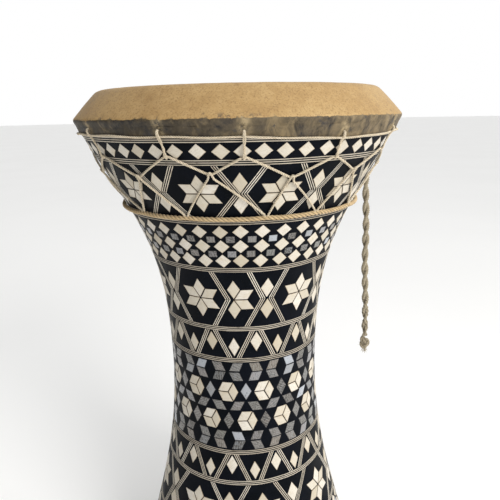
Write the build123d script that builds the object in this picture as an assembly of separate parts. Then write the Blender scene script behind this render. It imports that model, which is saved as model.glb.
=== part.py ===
"""Goblet hand drum (darbuka) with an inlaid turned-wood body and a rope-laced skin head.

Millimetres, +Z up. The origin is the centre of the foot's underside, on the drum's axis.
Angles run about the axis from the drum's front (-Y), positive towards +X.
Every inlay tile is a curved plate: a prism cut out of a thin layer that follows the wall.
"""

import os
from math import cos, hypot, pi, radians, sin, tan
from random import Random

from build123d import *

os.makedirs("parts", exist_ok=True)

# ---------------------------------------------------------------- driving dimensions
HEIGHT = 430.0  # playing surface above the floor
HEM = 402.0  # lower edge of the skin
SPLIT = 237.9  # height at which bowl and foot are glued together
BEAD_TOP = 10.0  # top of the turned bead under the foot

# Finished outside of the inlaid wall: (height, radius)
WALL = [
    (0, 102.0), (60, 85.3), (120, 70.2), (175, 61.6), (227, 60.0),
    (275, 63.4), (310, 71.0), (342, 83.7), (372, 99.6), (402, 115.3),
]

WOOD_THICKNESS = 10.3  # horizontal wall thickness of the turned shells
GLUE = 0.2  # gap that the glue fills
GROUND_THICKNESS = 1.0
TILE_THICKNESS = 0.5
TILE_PROUD = 0.25  # tile face outside the nominal wall, filed flush by hand
TILE_LAYER = (TILE_PROUD - TILE_THICKNESS, TILE_PROUD)
GROUND_LAYER = (TILE_LAYER[0] - GLUE - GROUND_THICKNESS, TILE_LAYER[0] - GLUE)
WOOD_OUTSIDE = GROUND_LAYER[0] - GLUE
WOOD_INSIDE = WOOD_OUTSIDE - WOOD_THICKNESS

# Spigot that centres the bowl in the foot
SPIGOT_RADIUS = 53.3
SPIGOT_LENGTH = 20.0
BORE_RADIUS = 47.0

# Rim of the bowl and the skin over it
RIM_TOP_RADIUS = 101.2
RIM_WIDEST_RADIUS = 118.4
RIM_WIDEST_HEIGHT = 410.4
RIM_INNER_RADIUS = 96.8
SKIN_TOP_RADIUS = 102.0
SKIN_WIDEST_RADIUS = 120.2
SKIN_THICKNESS = 1.1

# Bands of inlay, separated by stringing: height of each stringing ring, bottom to top
RINGS = [14.0, 30.0, 53.0, 90.0, 137.0, 161.9, SPLIT, 263.3, 310.1, 346.1, 385.6, 399.0]
RING_WIDTH = 3.4
STRING_WIDTH = 3.2
JOINT = 0.25  # gap between neighbouring tiles of one figure

# Cords
LACE_DIAMETER = 2.0
HEM_CORD_DIAMETER = 1.8
RING_ROPE_DIAMETER = 4.0
RING_ROPE_HEIGHT = 349.0
LACE_GAP = 0.3  # clearance between a cord and what it lies on
HOOK_RADIUS = 3.0  # bend of a lace where it hooks round another cord
SHARP_TURN = 30.0  # degrees; a lace that turns more than this is hooked round something
TAIL_DIAMETER = 5.5

# Angles of the twelve eyelets, of the lacing's lower loops and of its landings on the ring
EYELETS = [-53, -22.5, 1.5, 32, 60, 91, 121, 151, 181, 212, 243, 275]
LOOPS = [-37.5, -9.5, 17.5, 45, 75.5, 105.5, 136, 166, 196, 227, 259, 291]
LANDINGS = [-22.5, 10.3, 33, 57, 88, 118, 148, 178, 209, 240, 272, 313.5]
EYELET_HEIGHT = 388.0
LOOP_HEIGHT = 376.0
LANDING_HEIGHT = RING_ROPE_HEIGHT + 3.6

# Free tail of the rope, hanging from a hitch: (outwards, sideways, height) from the axis,
# in the upright plane through the hitch
TAIL_ANGLE = 105.5
HITCH_RADIUS = 5.0
HITCH_HEIGHT = 377.0
TAIL_ROUTE = [
    (110.2, 0.0, 371.4), (110.6, 0.4, 352.0), (112.4, -0.5, 316.0), (112.6, 0.6, 280.0),
    (114.8, -0.2, 246.0), (115.2, 0.3, 213.0),
]
KNOT_HEIGHT = 13.0
KNOT_RADIUS = 6.2

hand = Random(12)  # small unevenness of work laid by hand


# ---------------------------------------------------------------- wall of the drum
wall_curve = Spline(*[(radius, height) for height, radius in WALL])


def radius_at(height):
    """Finished outside radius of the wall at a height."""
    low, high = 0.0, 1.0
    for _ in range(36):
        middle = (low + high) / 2
        if (wall_curve @ middle).Y < height:
            low = middle
        else:
            high = middle
    return (wall_curve @ low).X


def steepness(height):
    """Vertical rise of the wall for each millimetre along its slope."""
    flare = (radius_at(height + 2) - radius_at(height - 2)) / 4
    return 1 / hypot(1, flare)


def band_arc(low, high, shift):
    """The wall's outline between two heights, as one arc moved outwards by shift."""
    middle = (low + high) / 2
    return ThreePointArc(*[(radius_at(z) + shift, z) for z in (low, middle, high)])


def wall_outline(shift, low=BEAD_TOP, high=HEM):
    """Arcs of the wall's outline, one for each band, from low up to high."""
    edges = [z for z in RINGS if low < z < high]
    stops = [low] + edges + [high]
    return [band_arc(a, b, shift) for a, b in zip(stops, stops[1:])]


def turned(edges, angle=360.0):
    """Solid of revolution about Z of a closed outline drawn as (radius, height)."""
    face = Plane.XZ * make_face(edges)
    return revolve(face, Axis.Z, angle)


def band_layer(low, high, inner, outer, angle=360.0):
    """A thin layer on the wall between two heights, inner and outer from the nominal wall."""
    inside, outside = band_arc(low, high, inner), band_arc(low, high, outer)
    return turned(
        [inside, Line(inside @ 1, outside @ 1), outside, Line(outside @ 0, inside @ 0)], angle
    )


def front_layer(low, high):
    """The part of a band's tile layer that faces the front, for cutting tiles from."""
    sector = 100.0
    layer = band_layer(low, high, *TILE_LAYER, sector)
    return Rot(0, 0, -90 - sector / 2) * layer


# ---------------------------------------------------------------- inlay tiles
def tile(layer, outline, height):
    """A tile facing the front. Its outline is (along the wall, up the slope) from a height."""
    rise = steepness(height)
    corners = []
    for across, up in outline:
        z = height + up * rise
        radius = radius_at(z)
        corners.append((radius * sin(across / radius), z))
    face = Plane.XZ * make_face(Polyline(*corners, close=True))
    return (layer & extrude(face, 140)).solids()[0]


def turn(solid, angle):
    return Rot(0, 0, angle) * solid


def uneven(amount):
    return hand.uniform(-amount, amount)


def shrunk(outline, gap):
    """An outline drawn in towards its centre, so that its sides move by about gap."""
    centre = [sum(p[i] for p in outline) / len(outline) for i in (0, 1)]
    reach = min(hypot(x - centre[0], y - centre[1]) for x, y in outline)
    keep = 1 - 1.4 * gap / reach
    return [
        (centre[0] + keep * (x - centre[0]), centre[1] + keep * (y - centre[1]))
        for x, y in outline
    ]


def diamond(half_width, half_height):
    return [(half_width, 0), (0, half_height), (-half_width, 0), (0, -half_height)]


def lozenge(tip, direction, spread):
    """One arm of a six-armed star: a 60 degree rhombus from the centre out to its tip."""
    side = tip / 3**0.5
    points = []
    for reach, swing in ((0, 0), (side, 30), (tip, 0), (side, -30)):
        angle = radians(direction + swing)
        points.append((spread * reach * sin(angle), reach * cos(angle)))
    return shrunk(points, JOINT)


def strip(start, end, width):
    """A straight stringing strip with level ends, between two points on the wall."""
    run, climb = end[0] - start[0], end[1] - start[1]
    half = width / 2 * hypot(run, climb) / abs(climb)
    return [
        (start[0] - half, start[1]), (start[0] + half, start[1]),
        (end[0] + half, end[1]), (end[0] - half, end[1]),
    ]


def spaced(front, count):
    """Angles of a figure repeated round the drum: those set out at the front, then the rest."""
    gap = (360 - (front[-1] - front[0])) / (count - len(front) + 1)
    return front + [front[-1] + gap * (i + 1) for i in range(count - len(front))]


def row(layer, outline, height, angles, variants=3):
    """One tile shape repeated at these angles, in a few hand-cut sizes."""
    cut = []
    for _ in range(variants):
        grow = 1 + uneven(0.025)
        cut.append(tile(layer, [(x * grow, y * grow) for x, y in outline], height + uneven(0.2)))
    return [turn(cut[i % variants], a + uneven(0.3)) for i, a in enumerate(angles)]


def stars(layer, tip, spread, height, angles, arms=range(0, 360, 60)):
    """Six-armed stars, each of six separate lozenges."""
    cut = [tile(layer, lozenge(tip, arm, spread), height) for arm in arms]
    return [turn(piece, angle) for angle in angles for piece in cut]


def crossings(layer, height, angles, half_height, foot, reach, sides=(-1, 1)):
    """Pairs of stringing chevrons whose points meet, each arm one laminated strip."""
    arms = []
    for side in sides:
        for end in (half_height, -half_height):
            middle = 0.12 if end > 0 else -0.12
            outline = strip((side * foot, middle), (side * reach, end), STRING_WIDTH)
            arms.append(tile(layer, outline, height))
    return [turn(arm, angle) for angle in angles for arm in arms]


def cross_diamonds(layer, tip, spread, height, angles, offset):
    """The diamonds above and below a crossing."""
    side = tip / 3**0.5
    outline = diamond(spread * side / 2, side * 0.866)
    return [
        piece
        for away in (offset, -offset)
        for piece in row(layer, outline, height + away, angles, variants=2)
    ]


def zigzag(layer, low, high, angles, top_reach, foot_reach):
    """Stringing peaks: two leaning strips for each angle."""
    middle, half = (low + high) / 2, (high - low) / 2 / steepness((low + high) / 2)
    arms = [
        tile(layer, strip((side * foot_reach, -half), (side * top_reach, half), STRING_WIDTH), middle)
        for side in (-1, 1)
    ]
    return [turn(arm, angle) for angle in angles for arm in arms]


def between(angles):
    """The angles half way between neighbours, all the way round."""
    closed = angles + [angles[0] + 360]
    return [(a + b) / 2 for a, b in zip(closed, closed[1:])]


# ---------------------------------------------------------------- writing the nodes
def save(name, solids):
    """Write one node, as one solid or as a group of separate solids."""
    pieces = list(solids) if isinstance(solids, (list, tuple)) else [solids]
    shape = pieces[0] if len(pieces) == 1 else Compound(children=pieces)
    export_step(shape, f"parts/{name}.step")


# ---------------------------------------------------------------- turned shells
def bowl_shell():
    """Upper shell: flared bowl, bevelled rim, and the spigot that enters the foot."""
    outside = wall_outline(WOOD_OUTSIDE, SPLIT, HEM)
    inside = wall_outline(WOOD_INSIDE, SPLIT, HEM)
    rim = Polyline(
        outside[-1] @ 1,
        (RIM_WIDEST_RADIUS, RIM_WIDEST_HEIGHT),
        (RIM_TOP_RADIUS, HEIGHT - SKIN_THICKNESS - 0.3),
        (RIM_INNER_RADIUS + 1.5, HEIGHT - SKIN_THICKNESS - 0.3),
        (RIM_INNER_RADIUS, HEIGHT - SKIN_THICKNESS - 2.0),
        inside[-1] @ 1,
    )
    spigot = Polyline(
        inside[0] @ 0,
        (BORE_RADIUS, SPLIT - 3),
        (BORE_RADIUS, SPLIT - SPIGOT_LENGTH),
        (SPIGOT_RADIUS, SPLIT - SPIGOT_LENGTH),
        (SPIGOT_RADIUS, SPLIT),
        outside[0] @ 0,
    )
    return turned([*outside, rim, *inside, spigot])


def foot_shell():
    """Lower shell: trumpet-shaped foot, with the socket for the bowl's spigot."""
    outside = wall_outline(WOOD_OUTSIDE, BEAD_TOP, SPLIT - GLUE)
    socket_floor = SPLIT - SPIGOT_LENGTH - GLUE
    inside = wall_outline(WOOD_INSIDE, BEAD_TOP, RINGS[5])
    socket = Polyline(
        outside[-1] @ 1,
        (SPIGOT_RADIUS + GLUE, SPLIT - GLUE),
        (SPIGOT_RADIUS + GLUE, socket_floor),
        (BORE_RADIUS, socket_floor),
        inside[-1] @ 1,
    )
    sole = Line(inside[0] @ 0, outside[0] @ 0)
    return turned([*outside, socket, *inside, sole])


def foot_bead():
    """Half-round wooden bead glued under the foot."""
    inner, outer, top = 90.0, radius_at(BEAD_TOP) - 0.5, BEAD_TOP - GLUE
    nose = ThreePointArc((outer, 0), (outer + 4.6, top / 2), (outer, top))
    return turned([Line((inner, 0), nose @ 0), nose, Polyline(nose @ 1, (inner, top), (inner, 0))])


def grounds():
    """Black veneer sleeves under the tiles, one for each band, from the foot upwards."""
    stops = [BEAD_TOP] + RINGS[1:-1] + [HEM - GLUE]
    seam = GLUE / 2
    return [
        band_layer(low + seam, high - seam, *GROUND_LAYER) for low, high in zip(stops, stops[1:])
    ]


def stringing_ring(height):
    """One laminated stringing strip bent round the wall."""
    half = RING_WIDTH / 2
    return band_layer(height - half, height + half, *TILE_LAYER)


# ---------------------------------------------------------------- head and lacing
def skin_head():
    """The skin: playing surface, bevel over the rim, and the turned-in apron down to the hem."""
    outer = Polyline(
        (0, HEIGHT), (SKIN_TOP_RADIUS, HEIGHT), (SKIN_WIDEST_RADIUS, RIM_WIDEST_HEIGHT),
        (radius_at(HEM) + 1.3, HEM + GLUE),
    )
    inner = Polyline(
        (radius_at(HEM) - 0.4, HEM + GLUE),
        (RIM_WIDEST_RADIUS + 0.45, RIM_WIDEST_HEIGHT),
        (RIM_TOP_RADIUS + 0.3, HEIGHT - SKIN_THICKNESS),
        (0, HEIGHT - SKIN_THICKNESS),
    )
    return turned([outer, Line(outer @ 1, inner @ 0), inner, Line(inner @ 1, outer @ 0)])


def on_wall(angle, height, lift):
    """A point standing off the wall by lift, measured level."""
    radius = radius_at(height) + lift
    return Vector(radius * sin(radians(angle)), -radius * cos(radians(angle)), height)


def corner_radius(before, corner, after):
    """Arc of a cord at a corner: as large as the runs allow, or tight round what it hooks."""
    one, other = corner - before, after - corner
    turn_by = one.get_angle(other)
    widest = 0.45 * min(one.length, other.length) / tan(radians(turn_by) / 2)
    return min(widest, HOOK_RADIUS) if turn_by > SHARP_TURN else widest


def cord(name, points, diameter):
    """A tube along straight runs joined by tangent arcs."""
    radii = [corner_radius(*points[i : i + 3]) for i in range(len(points) - 2)]
    path = FilletPolyline(*points, radius=radii)
    section = Plane(origin=path @ 0, z_dir=path % 0) * Circle(diameter / 2)
    tube = sweep(section, path=path)
    ideal = pi * diameter**2 / 4 * path.length
    print(f"{name}: length {path.length:.1f}, volume ratio {tube.volume / ideal:.4f}, "
          f"radii {min(radii):.1f} to {max(radii):.1f}")
    return tube


def lace_lift():
    """Standing of a lace's centre line off the wall: clear of the tiles, also between points."""
    return TILE_PROUD + LACE_GAP + LACE_DIAMETER / 2 + 0.5


def zigzag_points(peaks, peak_height, valleys, valley_height):
    """A lace's corners round the drum, with a point on the wall between neighbouring corners."""
    corners = []
    for (peak, valley) in zip(peaks, valleys):
        corners += [(peak, peak_height + uneven(0.8)), (valley, valley_height + uneven(0.5))]
    points = []
    for (a, za), (b, zb) in zip(corners, corners[1:]):
        share = 0.5 + uneven(0.04)
        points += [(a, za), (a + share * (b - a), za + share * (zb - za))]
    points.append(corners[-1])
    return [on_wall(angle, height, lace_lift()) for angle, height in points]


def wrapped(angles, start):
    """The angles in order round the drum from the first one past start."""
    return sorted((a - start) % 360 + start for a in angles)


def upper_lacing():
    """The cord that runs round the drum between the eyelet ties and the lower lacing."""
    peaks = wrapped(EYELETS, TAIL_ANGLE)
    valleys = wrapped(LOOPS, peaks[0])
    valleys[-1] -= 2.5
    points = zigzag_points(peaks, EYELET_HEIGHT, valleys, LOOP_HEIGHT)
    return cord("upper_lacing", points, LACE_DIAMETER)


def lower_lacing():
    """The cord that ties the upper lacing down to the tension ring."""
    below = LACE_DIAMETER + LACE_GAP + 1.6
    peaks = wrapped(LOOPS, TAIL_ANGLE - 0.5)
    valleys = wrapped(LANDINGS, peaks[0])
    valleys[-1] -= 1.5
    points = zigzag_points(peaks, LOOP_HEIGHT - below, valleys, LANDING_HEIGHT)
    return cord("lower_lacing", points, LACE_DIAMETER)


def eyelet_ties():
    """Short cords from the skin's hem down to the upper lacing."""
    top, foot = HEM - 1.6, EYELET_HEIGHT + LACE_DIAMETER / 2 + LACE_GAP + 1.0
    ties = []
    for angle in EYELETS:
        start, end = (on_wall(angle, z, lace_lift()) for z in (top, foot))
        ties.append(sweep(Plane(origin=start, z_dir=end - start) * Circle(LACE_DIAMETER / 2),
                          path=Line(start, end)))
    return ties


def hem_cord():
    """The cord threaded along the skin's edge, one closed ring."""
    height = HEM - 0.5
    major = radius_at(HEM) + TILE_PROUD + HEM_CORD_DIAMETER / 2 + LACE_GAP + 0.9
    return Pos(0, 0, height) * Torus(major, HEM_CORD_DIAMETER / 2)


def tension_ring():
    """The twisted rope ring that the lacing is pulled down to."""
    major = radius_at(RING_ROPE_HEIGHT) + TILE_PROUD + RING_ROPE_DIAMETER / 2 + LACE_GAP + 0.8
    return Pos(0, 0, RING_ROPE_HEIGHT) * Torus(major, RING_ROPE_DIAMETER / 2)


# ---------------------------------------------------------------- free tail
def tail_point(outwards, sideways, height):
    a = radians(TAIL_ANGLE)
    return Vector(
        outwards * sin(a) + sideways * cos(a), -outwards * cos(a) + sideways * sin(a), height
    )


def tail_hitch():
    """The knot that holds the tail to the lacing: a ball that the tail swings about."""
    return Pos(tail_point(TAIL_ROUTE[0][0], 0, HITCH_HEIGHT)) * Sphere(HITCH_RADIUS)


def tail_cord():
    return cord("tail_cord", [tail_point(*p) for p in TAIL_ROUTE], TAIL_DIAMETER)


def tail_end_knot():
    """Overhand knot on the tail's end: a rounded barrel that meets the cord face to face."""
    neck, half = TAIL_DIAMETER / 2, KNOT_HEIGHT / 2
    side = Spline(
        (neck, 0), (0.9 * KNOT_RADIUS, -0.5 * half), (KNOT_RADIUS, -half),
        (0.9 * KNOT_RADIUS, -1.5 * half), (neck * 0.9, -KNOT_HEIGHT),
    )
    outline = [side, Polyline(side @ 1, (0, -KNOT_HEIGHT), (0, 0), (neck, 0))]
    knot = turned(outline)
    end, before = tail_point(*TAIL_ROUTE[-1]), tail_point(*TAIL_ROUTE[-2])
    return Plane(origin=end, z_dir=before - end) * knot


# ---------------------------------------------------------------- bands of inlay
def crown_diamonds():
    """Band under the hem: one row of bone squares set on their corners."""
    layer = front_layer(RINGS[10], RINGS[11])
    angles = spaced([-33, -26.5, -19.8, -12.6, -5.5, 0.9, 7.5, 14, 21, 27.8, 34.5], 53)
    save("crown_diamond_tiles", row(layer, diamond(5.4, 5.15), 392.3, angles))


def star_band(name, low, high, tip, spread, star_angles, cross_angles, arm, cut_star=None):
    """Band of six-armed stars with stringing crossings between them."""
    layer, height = front_layer(low, high), (low + high) / 2
    clear = (high - low) / 2 - RING_WIDTH / 2 - 0.3
    half = clear / steepness(height)
    tiles = stars(layer, tip, spread, height, star_angles)
    crosses = crossings(layer, height, cross_angles, half, *arm)
    if cut_star:
        star_angle, chevron_angle = cut_star
        tiles += stars(layer, tip, spread, height, [star_angle], arms=(0, 60, 120, 180))
        crosses += crossings(layer, height, [chevron_angle], half, *arm, sides=(-1,))
    save(f"{name}_star_tiles", tiles)
    save(f"{name}_cross_strings", crosses)
    offset = tip / 3**0.5 * 0.866 * steepness(height) + 0.7
    save(f"{name}_cross_tiles", cross_diamonds(layer, tip, spread, height, cross_angles, offset))


def checker_band(name, low, high, rows, step, count, front):
    """Band of bone squares on their corners, with pearl squares between the rows."""
    layer, height = front_layer(low, high), (low + high) / 2
    angles = spaced(front, count)
    bone, pearl = [], []
    for i in range(rows):
        level = height + step * ((rows - 1) / 2 - i)
        bone += row(layer, diamond(5.45, 5.35), level, angles)
    half = 2.9
    square = [(half, 2.5), (-half, 2.5), (-half, -2.5), (half, -2.5)]
    for i in range(rows - 1):
        level = height + step * ((rows - 2) / 2 - i)
        pearl += row(layer, square, level, between(angles))
    save(f"{name}_checker_bone", bone)
    save(f"{name}_checker_pearl", pearl)


def zigzag_band(name, low, high, angles, top_reach, foot_reach):
    """Band of stringing peaks, with a diamond under each peak and one in each valley."""
    layer = front_layer(low, high)
    edge = RING_WIDTH / 2 + 0.3
    strings = zigzag(layer, low + edge, high - edge, angles, top_reach, foot_reach)
    save(f"{name}_zigzag_strings", strings)
    half_height = 7.7 * (high - low) / 25
    middle = (low + high) / 2
    tiles = row(layer, diamond(4.4, half_height), middle + 1.9, angles)
    tiles += row(layer, diamond(4.1, 0.97 * half_height), middle - 2.2, between(angles))
    save(f"{name}_zigzag_tiles", tiles)


def hexagon_band():
    """Band of bone hexagons, each of three rhombuses, in pearl framing."""
    layer, height = front_layer(RINGS[5], RINGS[6]), (RINGS[5] + RINGS[6]) / 2
    upper = spaced([-38.8, -12.4, 14.0, 40.6], 14)
    lower = spaced([-25.4, 1.3, 27.9, 54], 14)
    reach, rise, inner = 8.1, 8.0, 4.2
    thirds = [
        [(-reach, 0), (-inner, rise), (inner, rise), (0, 0)],
        [(0, 0), (inner, rise), (reach, 0), (inner, -rise)],
        [(-reach, 0), (0, 0), (inner, -rise), (-inner, -rise)],
    ]
    bone = []
    for offset, angles in ((11.5, upper), (-12.3, lower)):
        cut = [tile(layer, shrunk(third, JOINT), height + offset) for third in thirds]
        for angle in angles:
            turned_by = angle + uneven(0.2)
            bone += [turn(piece, turned_by) for piece in cut]
    save("hexagon_tiles", bone)

    pearl = row(layer, diamond(4.1, 7.0), height + 12.0, between(upper))
    pearl += row(layer, diamond(4.1, 7.0), height - 12.4, [a - 0.1 for a in between(lower)])
    save("hexagon_pearl_diamonds", pearl)

    slips = []
    for lean in (-1, 1):
        shift = 1.9 * lean
        slip = [(-shift - 3.9, -3.7), (-shift + 3.9, -3.7), (shift + 3.9, 3.7), (shift - 3.9, 3.7)]
        slips += row(layer, slip, height, [a + 6.7 * lean for a in upper])
        for level, holes in ((28.2, between(upper)), (-28.4, between(lower))):
            for end in (1, -1):
                arm = [(4.9, 0.35), (12.6, 0.35), (9.6, 7.2), (2.2, 7.2)]
                arm = [(lean * x, end * y) for x, y in arm]
                slips += row(layer, arm, height + level, holes, variants=2)
    save("hexagon_pearl_slips", slips)


def foot_diamonds():
    """Band above the bead: one row of bone squares set on their corners."""
    layer = front_layer(RINGS[0], RINGS[1])
    save("foot_diamond_tiles", row(layer, diamond(5.3, 5.0), 22.0, spaced([0.0], 46)))


def build():
    save("bowl_shell", bowl_shell())
    save("foot_shell", foot_shell())
    save("foot_bead", foot_bead())
    ground_names = ["foot_diamond", "foot_zigzag", "foot_checker", "foot_star", "lower_zigzag",
                    "hexagon", "upper_zigzag", "neck_star", "bowl_checker", "bowl_star",
                    "crown_diamond"]
    for name, ground in zip(ground_names, grounds()):
        save(f"{name}_ground", ground)
    for number, height in enumerate(reversed(RINGS), start=1):
        save(f"stringing_ring_{number:02d}", stringing_ring(height))

    crown_diamonds()
    star_band("bowl", RINGS[9], RINGS[10], 14.8, 1.07,
              spaced([-46, -14.8, 15, 44.5], 12), spaced([-31, 0.2, 29.5], 12), (2.2, 15.5))
    checker_band("bowl", RINGS[8], RINGS[9], 3, 10.9, 36,
                 [-29.5, -19.7, -9.8, -0.3, 10.0, 20.2, 30.0])
    star_band("neck", RINGS[7], RINGS[8], 16.1, 1.05,
              [-27.4, 38.7, 80, 121.3, 162.4, 204, 246, 288],
              [15.2, 59.2, 100.8, 141.8, 183, 225, 267, 309],
              (3.1, 13.9), cut_star=(-5.5, -6.4))
    zigzag_band("upper", RINGS[6], RINGS[7], spaced([-22.3, 8.7, 39.7], 12), 3.1, 13.0)
    hexagon_band()
    zigzag_band("lower", RINGS[4], RINGS[5], spaced([-41, -10.0, 20.5], 12), 3.0, 13.2)
    star_band("foot", RINGS[3], RINGS[4], 16.4, 1.05,
              spaced([-33.5, 9.6], 8), spaced([-11.5, 31], 8), (2.7, 14.5))
    checker_band("foot", RINGS[2], RINGS[3], 3, 11.0, 40, [0.0])
    zigzag_band("foot", RINGS[1], RINGS[2], spaced([-10.0, 10.0], 18), 3.0, 12.5)
    foot_diamonds()

    save("skin_head", skin_head())
    save("hem_cord", hem_cord())
    save("eyelet_ties", eyelet_ties())
    save("upper_lacing", upper_lacing())
    save("lower_lacing", lower_lacing())
    save("tension_ring", tension_ring())
    save("tail_hitch", tail_hitch())
    save("tail_cord", tail_cord())
    save("tail_end_knot", tail_end_knot())


build()
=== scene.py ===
"""Goblet drum with an inlaid body and a rope-laced skin head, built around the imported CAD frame.

Metres, +Z up, the CAD's own frame. Angles run about the drum's axis in degrees, from the front
(-Y) towards +X. Lengths named *_MM are in millimetres.
"""

import math
from random import Random

import bpy
import numpy as np
from mathutils import Matrix, Vector
from mathutils.geometry import delaunay_2d_cdt


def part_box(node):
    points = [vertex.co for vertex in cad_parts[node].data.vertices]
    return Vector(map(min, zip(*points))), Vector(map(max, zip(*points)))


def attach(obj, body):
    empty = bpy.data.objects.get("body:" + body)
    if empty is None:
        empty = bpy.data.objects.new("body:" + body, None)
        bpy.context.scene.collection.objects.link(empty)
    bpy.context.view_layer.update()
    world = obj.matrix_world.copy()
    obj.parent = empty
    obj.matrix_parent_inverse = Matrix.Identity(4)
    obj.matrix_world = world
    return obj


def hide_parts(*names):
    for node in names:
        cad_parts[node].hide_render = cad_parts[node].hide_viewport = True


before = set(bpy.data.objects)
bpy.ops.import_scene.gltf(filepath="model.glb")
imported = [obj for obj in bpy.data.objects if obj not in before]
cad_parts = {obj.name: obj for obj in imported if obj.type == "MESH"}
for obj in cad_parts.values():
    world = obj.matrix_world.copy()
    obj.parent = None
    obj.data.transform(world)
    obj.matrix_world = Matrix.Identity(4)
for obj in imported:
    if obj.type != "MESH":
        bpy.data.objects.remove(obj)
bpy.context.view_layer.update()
hand = Random(7)
MM = 0.001

# ------------------------------------------------------------------ camera
LENS_MM = 37.42
CAMERA_AT = (0.0, -0.40815, 0.41327)
PITCH, PAN, ROLL = (math.radians(a) for a in (14.81, 0.96, -1.17))


def make_camera():
    forward = Vector((math.cos(PITCH) * math.sin(PAN), math.cos(PITCH) * math.cos(PAN), -math.sin(PITCH)))
    level = Vector((math.cos(PAN), -math.sin(PAN), 0))
    upright = level.cross(forward)
    right = math.cos(ROLL) * level + math.sin(ROLL) * upright
    up = math.cos(ROLL) * upright - math.sin(ROLL) * level
    turn = Matrix((right, up, -forward)).transposed().to_4x4()
    data = bpy.data.cameras.new("camera")
    data.lens = LENS_MM
    data.clip_start = 0.01
    camera = bpy.data.objects.new("camera", data)
    camera.matrix_world = Matrix.Translation(CAMERA_AT) @ turn
    bpy.context.collection.objects.link(camera)
    bpy.context.scene.camera = camera


make_camera()


# ------------------------------------------------------------------ mesh pieces
class Piece:
    """Collects vertices and faces, with the coordinates that its materials use.

    grain is a place on the material in millimetres (along the grain, across it, depth), tone a
    number from 0 to 1 for each part, edge is 1 at a part's rim and 0 inside it.
    """

    def __init__(self):
        self.verts, self.faces, self.finishes = [], [], []
        self.grain, self.tone, self.edge = [], [], []

    def add(self, verts, faces, grain, tone=0.5, edge=0.0, finish=0):
        start, count = len(self.verts), len(verts)
        self.verts += [tuple(v) for v in verts]
        self.faces += [tuple(start + i for i in face) for face in faces]
        self.finishes += [finish] * len(faces) if isinstance(finish, int) else list(finish)
        self.grain += [tuple(g) for g in grain]
        self.tone += [tone] * count if np.isscalar(tone) else list(tone)
        self.edge += [edge] * count if np.isscalar(edge) else list(edge)

    def make(self, name, slot, materials, body="drum", replaces=(), sharp=40):
        mesh = bpy.data.meshes.new(name)
        mesh.from_pydata(self.verts, [], self.faces)
        for material in materials:
            mesh.materials.append(material)
        mesh.polygons.foreach_set("material_index", self.finishes)
        mesh.polygons.foreach_set("use_smooth", [True] * len(self.faces))
        for label, kind, values, field in (
            ("grain", "FLOAT_VECTOR", np.ravel(self.grain), "vector"),
            ("tone", "FLOAT", self.tone, "value"),
            ("edge", "FLOAT", self.edge, "value"),
        ):
            layer = mesh.attributes.new(label, kind, "POINT")
            layer.data.foreach_set(field, np.asarray(values, np.float32))
        mesh.set_sharp_from_angle(angle=math.radians(sharp))
        mesh.update()
        obj = bpy.data.objects.new(name, mesh)
        bpy.context.collection.objects.link(obj)
        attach(obj, body)
        if replaces:
            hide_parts(*replaces)
        return obj


def unit(vectors):
    return vectors / np.linalg.norm(vectors, axis=-1, keepdims=True)


def quads(rows, width, rows_join=False, width_joins=True):
    """The faces between rows of points, each row width points long."""
    faces = []
    for i in range(rows if rows_join else rows - 1):
        j = (i + 1) % rows
        for k in range(width if width_joins else width - 1):
            m = (k + 1) % width
            faces.append((i * width + k, i * width + m, j * width + m, j * width + k))
    return faces


def wander(reach):
    """A random step either way."""
    return hand.uniform(-reach, reach)


def half_turn(angles):
    """Angles in degrees, brought between -180 and 180."""
    return (angles + 180) % 360 - 180


# ------------------------------------------------------------------ cords
def distances(line, closed=False):
    """Length along a line up to each of its points, and in all."""
    steps = np.linalg.norm(np.roll(line, -1, axis=0) - line, axis=1)
    total = steps.sum() if closed else steps[:-1].sum()
    return np.concatenate([[0], np.cumsum(steps[:-1])]), total


def resampled(line, step, closed=False):
    """A line with its points about this far apart."""
    line = np.asarray(line, float)
    if closed:
        line = np.vstack([line, line[:1]])
    along, total = distances(line)
    count = max(3, round(total / step))
    at = np.linspace(0, total, count + 1)
    if closed:
        at = at[:-1]
    return np.stack([np.interp(at, along, line[:, i]) for i in range(3)], axis=1)


def softened(line, times, closed=False):
    """A line with its corners eased, its ends kept."""
    for _ in range(times):
        eased = (np.roll(line, 1, axis=0) + 2 * line + np.roll(line, -1, axis=0)) / 4
        if not closed:
            eased[0], eased[-1] = line[0], line[-1]
        line = eased
    return line


def directions(line, closed=False):
    """The way a line runs at each of its points."""
    ahead, behind = np.roll(line, -1, axis=0), np.roll(line, 1, axis=0)
    if not closed:
        ahead[-1], behind[0] = line[-1], line[0]
    return unit(ahead - behind)


def square_to(line, outward, closed=False):
    """Two directions square to a line at each point, the first nearest to outward."""
    tangent = directions(line, closed)
    aside = unit(np.cross(tangent, outward))
    return np.cross(aside, tangent), aside


def wound(line, outward, count, radius, pitch, phase=0.0, closed=False, swell=None):
    """Strands wound about a line, each with its own outward directions."""
    out, aside = square_to(line, outward, closed)
    along, total = distances(line, closed)
    turns = total / pitch
    if closed:
        turns = round(turns)
    radius = radius if swell is None else radius * swell
    strands = []
    for k in range(count):
        angle = 2 * math.pi * (along / total * turns + k / count) + phase
        away = np.cos(angle)[:, None] * out + np.sin(angle)[:, None] * aside
        strands.append((line + np.reshape(radius, (-1, 1)) * away, away))
    return strands


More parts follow.
